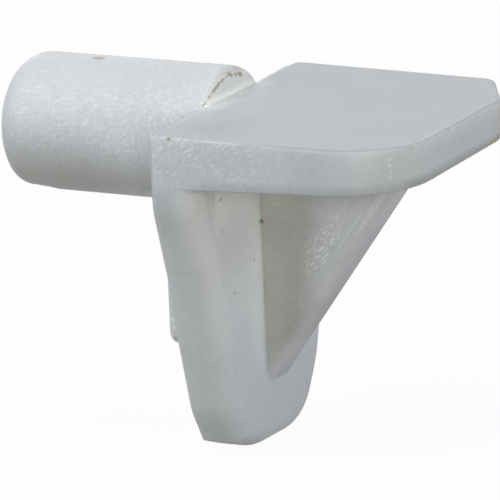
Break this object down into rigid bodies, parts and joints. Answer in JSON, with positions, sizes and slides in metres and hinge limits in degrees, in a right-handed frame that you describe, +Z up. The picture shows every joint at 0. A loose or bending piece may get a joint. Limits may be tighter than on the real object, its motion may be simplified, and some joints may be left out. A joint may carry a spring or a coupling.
{
  "type": "shelf support pin",
  "caption": "Plastic shelf support pin: a round peg for a 5 mm hole carries a flat shelf rest with rounded corners, braced by a hanging tongue and a gusset rib.",
  "frame": {"origin": "on the peg's axis, in the plane of the cabinet wall, where the pad behind the tongue bears", "axes": "-X along the peg into the wall, +X out under the shelf, +Y along the wall, +Z up"},
  "size_m": [0.0179, 0.0115, 0.0135],
  "materials": {
    "plastic": "milky, slightly translucent, with a fine sparkling grain"
  },
  "bodies": {
    "root": {"shelf_support": "plastic"}
  },
  "joints": []
}
